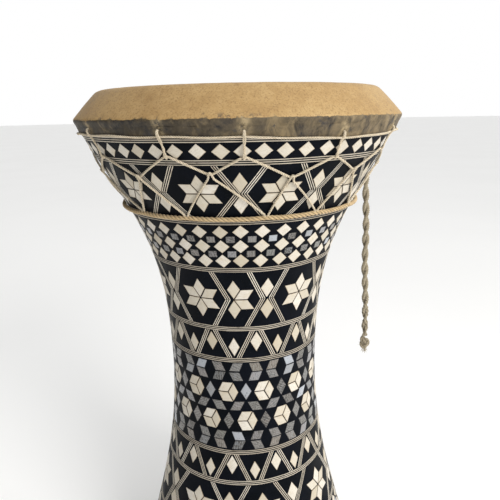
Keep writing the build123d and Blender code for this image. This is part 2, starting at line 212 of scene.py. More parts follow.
def tube(piece, line, outward, radius, sides, closed=False, tone=0.5, core=None, reach=1.0):
    """A round strand along a line. Where core is the rope's middle line and reach its radius, edge
    is 1 in the hollows between the strands."""
    out, aside = square_to(line, outward, closed)
    radius = np.broadcast_to(radius, len(line))
    along, _ = distances(line, closed)
    rows = len(line)
    verts, grain, hollow_shade = [], [], []
    offset = hand.uniform(0, 500)
    for i in range(rows):
        for k in range(sides):
            a = 2 * math.pi * k / sides
            verts.append(line[i] + radius[i] * (math.cos(a) * out[i] + math.sin(a) * aside[i]))
            grain.append((along[i] / MM + offset, radius[i] / MM * math.sin(a), radius[i] / MM * math.cos(a)))
            far = 1.0 if core is None else float(np.linalg.norm(verts[-1] - core[i])) / reach
            hollow_shade.append(min(1.0, max(0.0, (0.95 - far) / 0.4)))
    faces = quads(rows, sides, closed)
    if not closed:
        faces.append(tuple(reversed(range(sides))))
        faces.append(tuple((rows - 1) * sides + k for k in range(sides)))
    piece.add(verts, faces, grain, tone, hollow_shade)


def smooth_route(points, steps=40):
    """The line of a NURBS spline with these control points."""
    curve = bpy.data.curves.new("route", "CURVE")
    curve.dimensions = "3D"
    curve.resolution_u = steps
    spline = curve.splines.new("NURBS")
    spline.points.add(len(points) - 1)
    for control, at in zip(spline.points, points):
        control.co = (*at, 1)
    spline.order_u = 3
    spline.use_endpoint_u = True
    obj = bpy.data.objects.new("route", curve)
    bpy.context.collection.objects.link(obj)
    mesh = bpy.data.meshes.new_from_object(obj)
    line = np.array([v.co[:] for v in mesh.vertices])
    bpy.data.objects.remove(obj)
    bpy.data.curves.remove(curve)
    bpy.data.meshes.remove(mesh)
    return line


# ------------------------------------------------------------------ materials
def linear(colour):
    """A colour written as sRGB 0-255, made linear."""
    shares = [c / 255 for c in colour]
    return tuple(c / 12.92 if c <= 0.04045 else ((c + 0.055) / 1.055) ** 2.4 for c in shares) + (1,)


class Finish:
    """A node material, with short words for the nodes it is made of."""

    def __init__(self, name, **sockets):
        self.material = bpy.data.materials.new(name)
        self.material.use_nodes = True
        self.tree = self.material.node_tree
        self.shader = self.tree.nodes["Principled BSDF"]
        for socket, number in sockets.items():
            self.shader.inputs[socket.replace("_", " ")].default_value = number

    def node(self, kind, inputs=None, **settings):
        made = self.tree.nodes.new("ShaderNode" + kind)
        for field, setting in settings.items():
            setattr(made, field, setting)
        for socket, given in (inputs or {}).items():
            self.give(made.inputs[socket], given)
        return made

    def give(self, socket, given):
        if isinstance(given, bpy.types.NodeSocket):
            self.tree.links.new(given, socket)
        else:
            socket.default_value = linear(given) if socket.type == "RGBA" else given

    def read(self, attribute, vector=False):
        made = self.node("Attribute", attribute_name=attribute)
        return made.outputs["Vector" if vector else "Fac"]

    def place(self):
        return self.node("TexCoord").outputs["Object"]

    def scaled(self, vector, scale):
        return self.node("VectorMath", {0: vector, 1: scale}, operation="MULTIPLY").outputs[0]

    def noise(self, vector, scale, detail=3.0, rough=0.55, distortion=0.0):
        made = self.node("TexNoise", {"Vector": vector, "Scale": scale, "Detail": detail,
                                      "Roughness": rough, "Distortion": distortion})
        return made.outputs["Fac"]

    def streaks(self, vector, stretch, *settings):
        """Noise squeezed by these factors along each direction."""
        return self.noise(self.scaled(vector, stretch), 1.0, *settings)

    def math(self, operation, *given, clamp=False):
        return self.node("Math", dict(enumerate(given)), operation=operation, use_clamp=clamp).outputs[0]

    def fit(self, number, low, high, to_low=0.0, to_high=1.0):
        made = self.node("MapRange", {"Value": number, "From Min": low, "From Max": high,
                                      "To Min": to_low, "To Max": to_high})
        return made.outputs[0]

    def mix(self, share, one, other):
        made = self.node("Mix", data_type="RGBA")
        self.give(made.inputs["Factor"], share)
        self.give(made.inputs[6], one)
        self.give(made.inputs[7], other)
        return made.outputs[2]

    def stain(self, base, colour, number, low, high, amount=1.0):
        """Colour laid over base where number runs from low to high, up to this amount."""
        return self.mix(self.fit(number, low, high, 0, amount), base, colour)

    def ramp(self, number, *stops):
        made = self.node("ValToRGB", {"Fac": number})
        ramp = made.color_ramp
        ramp.interpolation = "EASE"
        while len(ramp.elements) < len(stops):
            ramp.elements.new(0.5)
        for element, (at, colour) in zip(ramp.elements, sorted(stops)):
            element.position = at
            element.color = linear(colour)
        return made.outputs["Color"]

    def bump(self, height, distance, strength=1.0, under=None):
        inputs = {"Height": height, "Distance": distance, "Strength": strength}
        if under is not None:
            inputs["Normal"] = under
        return self.node("Bump", inputs).outputs["Normal"]

    def finish(self, colour=None, roughness=None, normal=None):
        for socket, given in (("Base Color", colour), ("Roughness", roughness), ("Normal", normal)):
            if given is not None:
                self.give(self.shader.inputs[socket], given)
        return self.material


def bone():
    """Camel-bone tiles: pale ivory, fine saw grain, grimy rims and a few stained ones."""
    f = Finish("bone", Specular_IOR_Level=0.45)
    grain, tone, edge = f.read("grain", True), f.read("tone"), f.read("edge")
    lines = f.streaks(grain, (0.22, 5.5, 1), 4, 0.6, 0.15)
    fibres = f.streaks(grain, (0.5, 16, 1), 2, 0.6)
    clouds = f.noise(grain, 0.22, 2, 0.5)
    base = f.ramp(tone, (0.0, (190, 180, 160)), (0.3, (203, 195, 179)),
                  (0.7, (211, 204, 190)), (1.0, (219, 213, 202)))
    base = f.stain(base, (168, 156, 134), lines, 0.5, 0.72)
    base = f.stain(base, (160, 140, 112), fibres, 0.58, 0.75, 0.5)
    base = f.stain(base, (196, 180, 148), clouds, 0.5, 0.8, 0.45)
    rim = f.math("MULTIPLY", edge, f.fit(clouds, 0.3, 0.6, 0.15, 0.8))
    base = f.mix(rim, base, (150, 128, 98))
    pits = f.fit(f.streaks(grain, (0.9, 2.4, 1), 2, 0.5), 0.74, 0.78)
    base = f.mix(pits, base, (96, 76, 54))
    normal = f.bump(f.math("ADD", lines, fibres), 0.00005, 0.55)
    return f.finish(base, f.fit(lines, 0.3, 0.7, 0.38, 0.62), normal)


def pearl():
    """Shell pieces: each its own grey, from blue to pink, with bright curved streaks."""
    f = Finish("pearl", Coat_Weight=0.25, Coat_Roughness=0.15, Specular_IOR_Level=0.5)
    grain, tone, edge = f.read("grain", True), f.read("tone"), f.read("edge")
    wave = f.node("TexWave", {"Vector": f.scaled(grain, (0.25, 0.5, 0.4)), "Scale": 0.7, "Distortion": 5.0,
                              "Detail": 3.0, "Detail Scale": 1.2}).outputs["Fac"]
    patches = f.noise(grain, 0.35, 3, 0.6, 1.2)
    base = f.ramp(tone, (0.0, (64, 62, 58)), (0.25, (90, 87, 82)), (0.45, (100, 100, 99)),
                  (0.62, (108, 101, 91)), (0.85, (122, 122, 124)), (1.0, (172, 178, 186)))
    tint = f.ramp(f.math("FRACT", f.math("MULTIPLY", tone, 7.3)), (0.0, (108, 116, 124)),
                  (0.35, (130, 120, 114)), (0.7, (112, 114, 104)), (1.0, (126, 120, 130)))
    base = f.mix(f.fit(patches, 0.42, 0.7, 0, 0.55), base, tint)
    base = f.stain(base, (172, 170, 168), wave, 0.65, 1.0, 0.28)
    base = f.stain(base, (66, 64, 66), patches, 0.42, 0.3, 0.6)
    base = f.mix(f.math("MULTIPLY", edge, 0.5), base, (60, 56, 54))
    return f.finish(base, f.fit(patches, 0.3, 0.7, 0.18, 0.38), f.bump(wave, 0.00004, 0.35))


def lacquer():
    """Black ground: blue-black, slightly glossy, dusty and scratched."""
    f = Finish("black_lacquer", Specular_IOR_Level=0.05)
    place = f.place()
    clouds, dust = f.noise(place, 60, 4, 0.6), f.noise(place, 900, 3, 0.6)
    scratches = f.streaks(place, (300, 300, 2600), 2, 0.6)
    base = f.ramp(clouds, (0.3, (3, 6, 11)), (0.7, (9, 13, 21)))
    base = f.stain(base, (56, 55, 54), dust, 0.62, 0.8, 0.35)
    base = f.stain(base, (64, 64, 66), scratches, 0.7, 0.76, 0.3)
    normal = f.bump(f.math("ADD", dust, scratches), 0.00005, 0.5)
    return f.finish(base, f.fit(clouds, 0.3, 0.7, 0.36, 0.6), normal)


def stringing():
    """Pale wood or bone lines of the stringing, greyed by handling."""
    f = Finish("stringing_white", Specular_IOR_Level=0.4)
    grain, tone = f.read("grain", True), f.read("tone")
    lines = f.streaks(grain, (0.15, 7, 1), 3, 0.6)
    wear = f.streaks(grain, (0.16, 0.3, 1), 4, 0.6)
    base = f.ramp(tone, (0.0, (168, 158, 142)), (0.5, (206, 196, 178)), (1.0, (232, 225, 210)))
    base = f.stain(base, (128, 112, 92), lines, 0.5, 0.75, 0.7)
    base = f.stain(base, (104, 92, 78), wear, 0.55, 0.75, 0.8)
    return f.finish(base, f.fit(wear, 0.3, 0.7, 0.42, 0.66), f.bump(lines, 0.00005, 0.5))


def twine(name, light, middle, dark, hairy=0.6, dirt=0.5):
    """Twisted plant fibre: pale and dark fibres along the strand, painted shade in the hollows."""
    f = Finish(name, Specular_IOR_Level=0.2, Sheen_Weight=0.15)
    grain, tone = f.read("grain", True), f.read("tone")
    hollow_shade = f.read("edge")
    fibres = f.streaks(grain, (0.5, 6, 6), 4, 0.65)
    soiled = f.streaks(grain, (0.06, 0.2, 0.2), 3, 0.6)
    base = f.ramp(fibres, (0.25, dark), (0.48, middle), (0.7, light))
    base = f.mix(f.fit(soiled, 0.5, 0.72, 0, dirt), base, dark)
    base = f.mix(f.fit(tone, 0.0, 1.0, 0.3, 0.0), base, dark)
    # painted shade in the hollows between the strands
    base = f.mix(f.math("MULTIPLY", hollow_shade, 0.85), base, [0.6 * c for c in dark])
    return f.finish(base, f.fit(fibres, 0.3, 0.7, 0.92, 0.74), f.bump(fibres, 0.00018, hairy))


def rawhide():
    """Skin head: golden tan and speckled on top; on the apron dark with handling and glue, and with painted
    shade where it faces down.

    grain is (angle, height below the fold, pull at the eyelets), edge is the apron's grime and painted shade.
    """
    f = Finish("rawhide", Specular_IOR_Level=0.35)
    place, apron, pull = f.place(), f.read("edge"), f.read("tone")
    clouds = f.noise(place, 22, 5, 0.6, 0.4)
    mottle = f.noise(place, 160, 5, 0.7)
    specks = f.noise(place, 900, 3, 0.7)
    pores = f.noise(place, 1700, 2, 0.6)
    base = f.ramp(clouds, (0.3, (160, 128, 80)), (0.5, (174, 142, 92)), (0.7, (186, 156, 106)))
    base = f.stain(base, (194, 166, 120), mottle, 0.45, 0.7, 0.4)
    base = f.stain(base, (142, 110, 68), mottle, 0.5, 0.3, 0.35)
    base = f.stain(base, (124, 94, 60), specks, 0.5, 0.68, 0.7)
    base = f.stain(base, (92, 68, 44), pores, 0.68, 0.74, 0.5)
    smear = f.streaks(place, (110, 110, 60), 5, 0.68, 0.8)
    edge = f.math("ADD", apron, f.fit(smear, 0.25, 0.75, -0.3, 0.3))
    # colours of the apron band: grime, and painted shade where the hide faces down
    grime_and_shade = f.ramp(smear, (0.3, (26, 22, 18)), (0.5, (60, 52, 38)), (0.72, (110, 95, 68)))
    stain = f.ramp(f.noise(place, 260, 4, 0.7), (0.4, (24, 25, 30)), (0.6, (70, 62, 50)))
    band = f.mix(f.fit(f.noise(place, 75, 4, 0.6), 0.45, 0.65), grime_and_shade, stain)
    # painted light: the apron band is paler towards +X, the side the key light falls on
    lit_from_right = f.fit(f.node("SeparateXYZ", {0: place}).outputs["X"], -0.05, 0.1, 0.0, 0.55)
    band = f.mix(f.math("MULTIPLY", lit_from_right, f.fit(smear, 0.35, 0.6)), band, (158, 138, 104))
    # painted highlight: paler streaks where the hide is pulled into folds at the eyelets
    eyelet_fold_highlight = f.math("MULTIPLY", pull, f.fit(mottle, 0.42, 0.62, 0.0, 0.8), clamp=True)
    band = f.mix(eyelet_fold_highlight, band, (184, 164, 126))
    # the dark apron band laid on: grime with painted shade
    base = f.mix(f.fit(edge, 0.44, 0.56), base, band)
    spots = f.math("MULTIPLY", f.fit(f.noise(place, 120, 5, 0.75), 0.58, 0.68), f.fit(apron, 0.02, 0.36))
    base = f.mix(spots, base, (58, 56, 56))
    height = f.math("ADD", f.math("MULTIPLY", mottle, 1.4), specks)
    normal = f.bump(height, 0.00022, 0.6)
    return f.finish(base, f.fit(mottle, 0.3, 0.7, 0.5, 0.72), normal)


def wood():
    """Turned hardwood, oiled dark, with growth rings, pores and the marks of the lathe."""
    f = Finish("turned_wood_finish", Specular_IOR_Level=0.4)
    place = f.place()
    streaks = f.streaks(place, (90, 90, 7), 5, 0.65, 0.3)
    pores = f.streaks(place, (900, 900, 45), 2, 0.6)
    marks = f.streaks(place, (3, 3, 1500), 2, 0.6)
    base = f.ramp(streaks, (0.3, (58, 36, 22)), (0.52, (98, 64, 38)), (0.72, (136, 94, 58)))
    base = f.stain(base, (36, 22, 14), pores, 0.6, 0.72, 0.7)
    base = f.stain(base, (44, 30, 22), f.noise(place, 26, 4, 0.6), 0.5, 0.75, 0.5)
    normal = f.bump(marks, 0.00012, 0.6, f.bump(pores, 0.0001, 0.4))
    return f.finish(base, f.fit(streaks, 0.3, 0.7, 0.42, 0.62), normal)


BONE, PEARL, BLACK, WHITE, WOOD = bone(), pearl(), lacquer(), stringing(), wood()
LACE = twine("lace_twine", (244, 234, 214), (226, 212, 186), (158, 138, 108), dirt=0.35)
RING = twine("ring_twine", (226, 204, 166), (200, 174, 132), (132, 106, 74), dirt=0.35)
JUTE = twine("jute_twine", (206, 196, 174), (172, 160, 136), (104, 94, 76), hairy=0.9, dirt=0.45)

# ------------------------------------------------------------------ free tail of the rope
# The route, (outwards, sideways, height) from the axis in the upright plane through the hitch
TAIL_ANGLE = math.radians(105.5)
TAIL_DIAMETER, TAIL_LENGTH = 0.0055, 0.1585
TAIL_PLY, TAIL_YARN, TAIL_PITCH = 0.00142, 0.00086, 0.027  # offset of the plies and the yarns; one full twist
PLIES, YARNS, YARN_SIDES = 2, 3, 6
TAIL_ROUTE = [
    (0.1102, 0.0, 0.3714), (0.1106, 0.0004, 0.352), (0.1124, -0.0005, 0.316),
    (0.1126, 0.0006, 0.280), (0.1148, -0.0002, 0.246), (0.1152, 0.0003, 0.213),
]


def beside_axis(outwards, sideways, height):
    """A point in the tail's upright plane."""
    s, c = math.sin(TAIL_ANGLE), math.cos(TAIL_ANGLE)
    return np.array([outwards * s + sideways * c, -outwards * c + sideways * s, height])


def outward_from_axis(line):
    flat = np.array(line, float)
    flat[:, 2] = 0
    return unit(flat)


def box_of(node):
    """The CAD node's box: its low corner, its high corner and its middle."""
    low, high = (np.array(corner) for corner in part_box(node))
    return low, high, (low + high) / 2


def rope(piece, line, outward, ply_radius, yarn_radius, pitch, phase=0.0, closed=False, swell=None,
         yarn_pitch=0.006):
    """A rope of plies, each of them twisted from yarns."""
    for ply, away in wound(line, outward, PLIES, ply_radius, pitch, phase, closed, swell):
        for yarn, out in wound(ply, away, YARNS, yarn_radius, yarn_pitch, hand.uniform(0, 6), closed):
            thickness, tone = yarn_radius * hand.uniform(1.08, 1.2), hand.uniform(0.2, 1.0)
            tube(piece, yarn, out, thickness, YARN_SIDES, closed, tone, ply, 2.1 * yarn_radius)


FIBRE_RADIUS, FRAY_RADIUS = 0.00006, 0.00016


def fuzz(piece, line, count, reach, length, body_radius):
    """Loose fibres that stand off a rope."""
    for _ in range(count):
        at = line[hand.randrange(len(line))]
        away = unit(np.array([hand.gauss(0, 1) for _ in range(3)]))
        bend = unit(np.array([hand.gauss(0, 1) for _ in range(3)])) * 0.5
        steps = np.linspace(0, 1, 5)[:, None]
        size = length * hand.uniform(0.5, 1.2)
        hair = at + away * body_radius * 0.7 + size * (steps * away * reach + steps**2 * bend)
        up = np.cross(away, bend + 1e-3)
        tube(piece, hair, np.broadcast_to(unit(up), hair.shape), FIBRE_RADIUS, 3, tone=1.0)


def make_tail_knot():
    """A trefoil drawn tight: three passes round a small core, taller than it is wide."""
    knot = Piece()
    low, _, centre = box_of("tail_end_knot")
    t = np.linspace(0, 2 * np.pi, 150, endpoint=False)
    size, depth = 0.00128, 0.0016
    swing = 2.0 + np.cos(3 * t)
    trefoil = np.stack([swing * np.cos(2 * t) * size, swing * np.sin(2 * t) * size * 0.95,
                        np.sin(3 * t) * depth], axis=1)
    tilt = np.array(Matrix.Rotation(math.radians(62), 3, "X") @ Matrix.Rotation(math.radians(25), 3, "Y"))
    loop = trefoil @ tilt.T * np.array([1.0, 1.0, 1.18]) + centre
    bending = np.gradient(np.gradient(loop, axis=0), axis=0) + 1e-9
    rope(knot, loop, bending, 0.00105, 0.00052, 0.013, closed=True, yarn_pitch=0.005)
    # The frayed end below it
    end = np.array([centre[0], centre[1], low[2] + 0.002])
    steps = np.linspace(0, 1, 6)[:, None]
    for _ in range(26):
        a, spread = hand.uniform(0, 2 * math.pi), hand.uniform(0.0004, 0.0022)
        away = np.array([math.cos(a), math.sin(a), 0])
        hair = end + away * spread + steps * np.array([0, 0, -0.0052 * hand.uniform(0.5, 1.1)])
        hair = hair + steps**2 * away * hand.uniform(-0.0005, 0.0016)
        tube(knot, hair, np.broadcast_to(away, hair.shape), FRAY_RADIUS, 4, tone=hand.uniform(0.4, 1))
    fuzz(knot, loop, 30, 0.8, 0.003, 0.0024)
    return knot.make("tail_knot", "tail_twine", [JUTE], "tail", ["tail_end_knot"])


def make_tail():
    line = smooth_route([beside_axis(*p) for p in TAIL_ROUTE])
    along, _ = distances(line)
    # The plies are pinched together where the twist is tight and stand apart between
    loose = 1 + 0.1 * np.sin(2 * np.pi * along / 0.031 + 1.0) + 0.05 * np.sin(2 * np.pi * along / 0.013)
    piece = Piece()
    rope(piece, line, outward_from_axis(line), TAIL_PLY, TAIL_YARN, TAIL_PITCH, 0.6, swell=loose)
    fuzz(piece, line, 110, 0.7, 0.0022, TAIL_DIAMETER / 2)
    tail = piece.make("tail_rope", "tail_twine", [JUTE], "tail", ["tail_cord"])
    end_knot = make_tail_knot()


def make_hitch():
    """The knot that ties the tail to the lacing: turns of the same rope round each other."""
    centre = box_of("tail_hitch")[2]
    outward = np.array([math.sin(TAIL_ANGLE), -math.cos(TAIL_ANGLE), 0])
    aside = np.array([math.cos(TAIL_ANGLE), math.sin(TAIL_ANGLE), 0])
    up = np.array([0, 0, 1.0])
    piece = Piece()
    t = np.linspace(0, 2 * np.pi, 90, endpoint=False)[:, None]
    for x, y, reach, shift in (
        (aside, up, 0.0026, -0.0014), (aside, up, 0.0027, 0.0013), (outward, aside, 0.0027, 0.0),
    ):
        axis = np.cross(x, y)
        ring = centre + reach * (np.cos(t) * x + np.sin(t) * y) + shift * axis
        axes = np.broadcast_to(axis, ring.shape)
        rope(piece, ring, axes, 0.00092, 0.00046, 0.012, closed=True, yarn_pitch=0.005)
    stub = np.array([centre + (0.0005 * math.sin(s * 3)) * aside - up * (0.001 + 0.0046 * s)
                     for s in np.linspace(0, 1, 12)])
    rope(piece, stub, np.broadcast_to(outward, stub.shape), 0.0011, 0.00056, 0.02)
    fuzz(piece, ring, 40, 0.8, 0.0014, 0.0015)
    piece.make("hitch_knot", "tail_twine", [JUTE], "hitch", ["tail_hitch"])


make_tail()
make_hitch()


# ------------------------------------------------------------------ the wall
GROUND_DEPTH = 0.00045  # the CAD's black ground lies this far inside the finished wall


def measure_wall():
    """Heights and finished radii of the wall, from the outer faces of the CAD's ground bands."""
    found = {}
    for name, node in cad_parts.items():
        if not name.endswith("_ground"):
            continue
        for face in node.data.polygons:
            c, n = face.center, face.normal
            if n.x * c.x + n.y * c.y > 0.5 * math.hypot(c.x, c.y):
                for i in face.vertices:
                    p = node.data.vertices[i].co
                    found.setdefault(round(p.z, 5), []).append(math.hypot(p.x, p.y))
    heights = sorted(found)
    radii = [max(found[z]) + GROUND_DEPTH for z in heights]
    # The first and last slopes run on a little past the bands
    more = 0.02
    below = radii[0] + more * (radii[0] - radii[1]) / (heights[1] - heights[0])
    above = radii[-1] + more * (radii[-1] - radii[-2]) / (heights[-1] - heights[-2])
    return np.array([heights[0] - more, *heights, heights[-1] + more]), np.array([below, *radii, above])


WALL_HEIGHTS, WALL_RADII = measure_wall()


def wall_radius(height):
    return np.interp(height, WALL_HEIGHTS, WALL_RADII)


def wall_rise(height, step=0.002):
    """How far the wall climbs for each metre along its slope."""
    flare = (wall_radius(height + step) - wall_radius(height - step)) / (2 * step)
    return 1 / math.hypot(1, flare)


def on_wall(angle, height, lift=0.0):
    """Points of the wall at angles in degrees, moved outwards by lift."""
    angle, height = np.radians(angle), np.asarray(height, float)
    radius = wall_radius(height) + lift
    return np.stack([radius * np.sin(angle), -radius * np.cos(angle), height + 0 * angle], axis=-1)


# ------------------------------------------------------------------ inlay tiles
def solids_of(node):
    """The outline of each solid's outer face, as (angle, height) points, anticlockwise."""
    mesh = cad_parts[node].data
    co = np.zeros(len(mesh.vertices) * 3, np.float32)
    mesh.vertices.foreach_get("co", co)
    spots, merged = np.unique(np.round(co.reshape(-1, 3).astype(float), 6), axis=0, return_inverse=True)
    merged = merged.ravel()
    corners = np.zeros(len(mesh.loops), np.int32)
    mesh.loops.foreach_get("vertex_index", corners)
    faces = merged[corners].reshape(-1, 3)
    group = np.arange(len(spots))
    while True:
        least = group[faces].min(axis=1)
        before = group.copy()
        for k in range(3):
            np.minimum.at(group, faces[:, k], least)
        group = group[group]
        if (group == before).all():
            break
    a, b, c = (spots[faces[:, k]] for k in range(3))
    normal = np.cross(b - a, c - a)
    centre = (a + b + c) / 3
    facing = normal[:, 0] * centre[:, 0] + normal[:, 1] * centre[:, 1]
    size = np.linalg.norm(normal, axis=1) * np.hypot(centre[:, 0], centre[:, 1])
    front = faces[facing > 0.6 * np.maximum(size, 1e-20)]
    outlines = []
    for which in np.unique(group[front[:, 0]]):
        sides = {}
        for tri in front[group[front[:, 0]] == which]:
            for p, q in ((0, 1), (1, 2), (2, 0)):
                sides[(tri[p], tri[q])] = True
        after = {p: q for p, q in sides if (q, p) not in sides}
        start = at = next(iter(after))
        loop = []
        while True:
            loop.append(spots[at])
            at = after[at]
            if at == start:
                break
        loop = np.array(loop)
        outlines.append(np.stack([np.degrees(np.arctan2(loop[:, 0], -loop[:, 1])), loop[:, 2]], axis=1))
    return outlines


class Patch:
    """Flat drawing of a small part of the wall, in millimetres about a point of it."""

    def __init__(self, outline):
        first = outline[0, 0]
        turned = half_turn(outline[:, 0] - first) + first
        self.angle = (turned.min() + turned.max()) / 2
        self.height = (outline[:, 1].min() + outline[:, 1].max()) / 2
        self.rise = wall_rise(self.height)
        x = np.radians(turned - self.angle) * wall_radius(outline[:, 1]) / MM
        y = (outline[:, 1] - self.height) / self.rise / MM
        self.outline = np.stack([x, y], axis=1)

    def lay(self, points, lift):
        points = np.asarray(points, float)
        height = self.height + points[:, 1] * self.rise * MM
        angle = self.angle + np.degrees(points[:, 0] * MM / wall_radius(height))
        return on_wall(angle, height, np.asarray(lift) * MM)


def corners_of(outline, slack=0.14):
    """The outline's corners, without the points between them."""
    points = list(outline)
    while len(points) > 3:
        off = []
        for i, p in enumerate(points):
            a, b = points[i - 1], points[(i + 1) % len(points)]
            run = b - a
            off.append(abs(run[0] * (p - a)[1] - run[1] * (p - a)[0]) / max(np.hypot(*run), 1e-9))
        least = int(np.argmin(off))
        if off[least] > slack:
            break
        points.pop(least)
    return np.array(points)


def drawn_in(corners, depth):
    """A polygon with its sides moved inwards by depth."""
    count, moved = len(corners), []
    for i in range(count):
        a, b, c = corners[i - 1], corners[i], corners[(i + 1) % count]
        u, v = unit(b - a), unit(c - b)
        inward_u, inward_v = np.array([-u[1], u[0]]), np.array([-v[1], v[0]])
        share = 1 + float(inward_u @ inward_v)
        moved.append(b + depth * (inward_u + inward_v) / max(share, 0.35))
    return np.array(moved)


def divided(corners, counts):
    """A polygon with each side cut into so many parts."""
    points = []
    for i, count in enumerate(counts):
        a, b = corners[i], corners[(i + 1) % len(corners)]
        points += [a + (b - a) * k / count for k in range(count)]
    return np.array(points)


def clipped(corners, normal, low, high):
    """The part of a polygon between two parallel lines."""
    for sign, limit in ((1, low), (-1, -high)):
        kept = []
        heights = [sign * float(p @ normal) - limit for p in corners]
        for i, p in enumerate(corners):
            q, hp, hq = corners[(i + 1) % len(corners)], heights[i], heights[(i + 1) % len(corners)]
            if hp >= 0:
                kept.append(p)
            if hp * hq < 0:
                kept.append(p + (q - p) * hp / (hp - hq))
        corners = kept
        if len(corners) < 3:
            return None
    return np.array(corners)


# Millimetres: how deep a plate's or ring's sides go into the wall, and how far a tile's corners slip
SIDE_DEPTH, CORNER_SLIP = 0.42, 0.06


def inside(x, y, loop, margin):
    """Whether a point lies in a polygon and this far from its corners."""
    crossings = 0
    for i, b in enumerate(np.roll(loop, -1, axis=0)):
        a = loop[i]
        if np.hypot(a[0] - x, a[1] - y) < margin:
            return False
        if (a[1] > y) != (b[1] > y) and x < (b[0] - a[0]) * (y - a[1]) / (b[1] - a[1]) + a[0]:
            crossings += 1
    return crossings % 2 == 1


def plate(piece, patch, corners, top, bevel, rim, grain_angle, tone, finish=0, cell=2.2):
    """One inlay plate laid on the wall: a body, a worn rim and a face that follows the curve.

    top, bevel and rim are in millimetres: the face's height above the wall, the width of the worn
    edge, and where the plain face begins. With a rim of 0 the face has no points of its own.
    """
    lengths = np.linalg.norm(np.roll(corners, -1, axis=0) - corners, axis=1)
    counts = [max(1, math.ceil(length / cell)) for length in lengths]
    levels = [(0.0, -SIDE_DEPTH, 1.0), (0.0, top - 0.07, 1.0), (bevel, top, 0.75)]
    if rim:
        levels.append((rim, top + 0.01, 0.0))
    points, lifts, edges = [], [], []
    for depth, lift, edge in levels:
        loop = divided(drawn_in(corners, depth) if depth else corners, counts)
        points.append(loop)
        lifts += [lift] * len(loop)
        edges += [edge] * len(loop)
    n = len(points[0])
    inner = points[-1]
    spots = [Vector(p) for p in inner]
    if rim:
        x_low, y_low = inner.min(axis=0)
        x_high, y_high = inner.max(axis=0)
        for x in np.arange(x_low + cell / 2, x_high, cell):
            for y in np.arange(y_low + cell / 2, y_high, cell):
                if inside(x, y, inner, 0.5 * cell):
                    spots.append(Vector((x, y)))
    made = delaunay_2d_cdt(spots, [], [list(range(n))], 1, 1e-5)
    first = [ids[0] if ids else None for ids in made[3]]
    if None in first:
        return
    flat = np.vstack(points + [np.array(spots[n:]).reshape(-1, 2)])
    extra = len(spots) - n
    lifts += [top + 0.01 + hand.uniform(-0.008, 0.012) for _ in range(extra)]
    edges += [0.0] * extra
    faces = quads(len(levels), n)
    base = (len(levels) - 1) * n
    faces += [tuple(base + first[i] for i in face) for face in made[2]]
    faces.append(tuple(reversed(range(n))))
    c, s = math.cos(grain_angle), math.sin(grain_angle)
    shift = wander(400), wander(400)
    grain = [(c * x + s * y + shift[0], c * y - s * x + shift[1], lift) for (x, y), lift in zip(flat, lifts)]
    piece.add(patch.lay(flat, lifts), faces, grain, tone, edges, finish)


def loosened(corners, turn, shift, shrink):
    """A tile as set by hand: a little turned, moved and smaller than its place."""
    middle = corners.mean(axis=0)
    a = math.radians(wander(turn))
    spin = np.array([[math.cos(a), -math.sin(a)], [math.sin(a), math.cos(a)]])
    size = 1 - hand.uniform(0, shrink)
    nudged = (corners - middle) @ spin.T * size + middle + [wander(shift), wander(shift)]
    return nudged + np.array([[wander(CORNER_SLIP) for _ in range(2)] for _ in corners])


def longest_side(corners):
    sides = np.roll(corners, -1, axis=0) - corners
    return unit(sides[np.argmax(np.linalg.norm(sides, axis=1))])


def make_tiles(node, name, slot, material):
    piece = Piece()
    for outline in solids_of(node):
        patch = Patch(outline)
        corners = loosened(corners_of(patch.outline), 0.8, 0.05, 0.012)
        side = longest_side(corners)
        # The grain runs along a side, or leans 60 degrees to it
        lean = math.atan2(side[1], side[0]) + hand.choice((0, 0, math.pi / 3)) + wander(0.1)
        top = 0.06 + hand.uniform(-0.03, 0.04)
        plate(piece, patch, corners, top, 0.11, 0.5, lean, hand.uniform(0.0, 1.0))
    piece.make(name, slot, [material], replaces=[node])


STRIP_LINES = (0.0, 0.17, 0.415, 0.585, 0.83, 1.0)  # borders of a strip's lines, as shares of its width


def make_strings(node, name):
    """Slanting strips: three pale lines, with black between them."""
    piece = Piece()
    for outline in solids_of(node):
        patch = Patch(outline)
        corners = corners_of(patch.outline, 0.3)
        side = longest_side(corners)
        normal = np.array([-side[1], side[0]])
        reach = corners @ normal
        low, width = reach.min(), np.ptp(reach)
        strip_tone = hand.uniform(0.45, 0.9)
        for k in range(5):
            start, end = (share + wander(0.015) for share in STRIP_LINES[k : k + 2])
            line = clipped(list(corners), normal, low + width * start, low + width * end)
            if line is None:
                continue
            black = k % 2
            plate(piece, patch, line, -0.03 if black else 0.05, 0.06, 0.0, math.atan2(side[1], side[0]),
                  strip_tone + wander(0.1), black)
    piece.make(name, "stringing", [WHITE, BLACK], replaces=[node])


